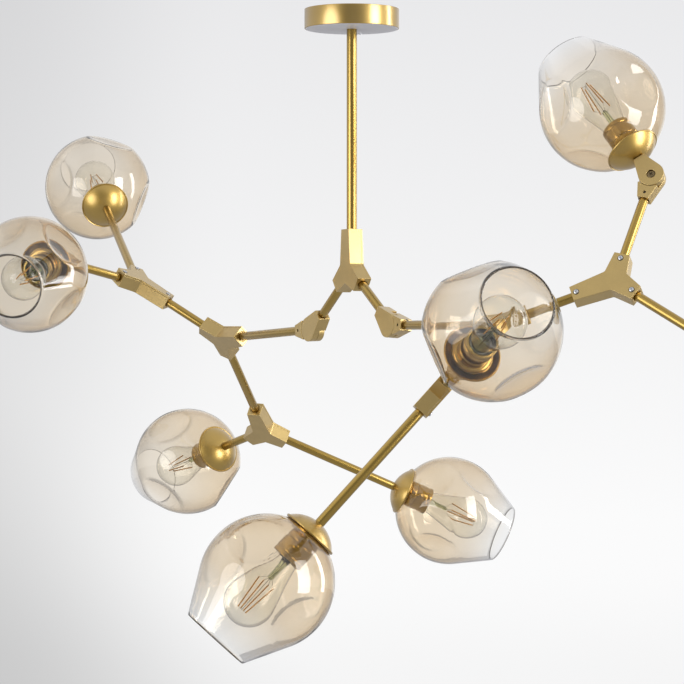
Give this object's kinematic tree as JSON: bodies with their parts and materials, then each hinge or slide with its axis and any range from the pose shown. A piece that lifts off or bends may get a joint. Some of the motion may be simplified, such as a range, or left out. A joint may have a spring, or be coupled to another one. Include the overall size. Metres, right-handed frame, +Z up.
{
  "type": "branching ceiling chandelier",
  "caption": "Branching brass chandelier: three-armed hubs and straight tubes carry blown, dented glass shades with filament bulbs, on friction knuckles that set the branches.",
  "frame": {"origin": "middle of the ceiling face, where the ceiling bracket meets the ceiling", "axes": "+Z up, out of the ceiling face; the picture looks along +Y; the skeleton spans mainly along Y"},
  "size_m": [1.1543, 1.4796, 0.7891],
  "materials": {
    "satin_brass": "satin brushed",
    "pale_plate": "satin pale grey",
    "bracket_steel": "zinc plated",
    "tinted_glass": "champagne tint, polished",
    "clear_glass": "clear, polished"
  },
  "bodies": {
    "root": {"canopy": "satin_brass", "canopy_plate": "pale_plate", "ceiling_bracket": "bracket_steel", "drop_rod": "satin_brass", "hub_top": "satin_brass", "cover_top": "satin_brass", "rods_top": "satin_brass", "knuckle_left_fixed": "satin_brass", "knuckle_right_fixed": "satin_brass"},
    "left_branch": {"knuckle_left_swing": "satin_brass", "hub_left_a": "satin_brass", "hub_left_b": "satin_brass", "hub_left_c": "satin_brass", "covers_left": "satin_brass", "rods_left": "satin_brass", "knuckle_2_fixed": "satin_brass", "gallery_1": "satin_brass", "gallery_3": "satin_brass", "gallery_5": "satin_brass", "holder_1": "satin_brass", "holder_3": "satin_brass", "holder_5": "satin_brass", "shade_1": "tinted_glass", "shade_3": "tinted_glass", "shade_5": "tinted_glass", "bulb_1": "clear_glass", "bulb_3": "clear_glass", "bulb_5": "clear_glass"},
    "right_branch": {"knuckle_right_swing": "satin_brass", "hub_right_a": "satin_brass", "hub_right_b": "satin_brass", "hub_right_c": "satin_brass", "covers_right": "satin_brass", "rods_right": "satin_brass", "knuckle_6_fixed": "satin_brass", "knuckle_7_fixed": "satin_brass", "gallery_4": "satin_brass", "gallery_8": "satin_brass", "holder_4": "satin_brass", "holder_8": "satin_brass", "shade_4": "tinted_glass", "shade_8": "tinted_glass", "bulb_4": "clear_glass", "bulb_8": "clear_glass"},
    "lamp_2": {"knuckle_2_swing": "satin_brass", "gallery_2": "satin_brass", "holder_2": "satin_brass", "shade_2": "tinted_glass", "bulb_2": "clear_glass"},
    "lamp_6": {"knuckle_6_swing": "satin_brass", "gallery_6": "satin_brass", "holder_6": "satin_brass", "shade_6": "tinted_glass", "bulb_6": "clear_glass"},
    "lamp_7": {"knuckle_7_swing": "satin_brass", "gallery_7": "satin_brass", "holder_7": "satin_brass", "shade_7": "tinted_glass", "bulb_7": "clear_glass"}
  },
  "joints": [
    {"name": "left_knuckle", "type": "hinge", "parent": "root", "child": "left_branch", "pos_m": [-0.04984, 0.08991, -0.40298], "axis": [-0.856, -0.5145, -0.05], "range_deg": [-8, 30]},
    {"name": "right_knuckle", "type": "hinge", "parent": "root", "child": "right_branch", "pos_m": [0.04984, -0.08991, -0.40298], "axis": [-0.856, -0.5145, 0.05], "range_deg": [-35, 12]},
    {"name": "lamp_2_knuckle", "type": "hinge", "parent": "left_branch", "child": "lamp_2", "pos_m": [-0.39527, 0.22787, -0.30573], "axis": [0.4738, -0.2845, 0.8334], "range_deg": [-90, 12]},
    {"name": "lamp_6_knuckle", "type": "hinge", "parent": "right_branch", "child": "lamp_6", "pos_m": [0.11584, -0.54905, -0.46363], "axis": [-0.9596, -0.2802, 0.0268], "range_deg": [-55, 55]},
    {"name": "lamp_7_knuckle", "type": "hinge", "parent": "right_branch", "child": "lamp_7", "pos_m": [0.35498, -0.26446, -0.2322], "axis": [-0.2597, -0.8691, 0.4209], "range_deg": [-90, 10]}
  ]
}
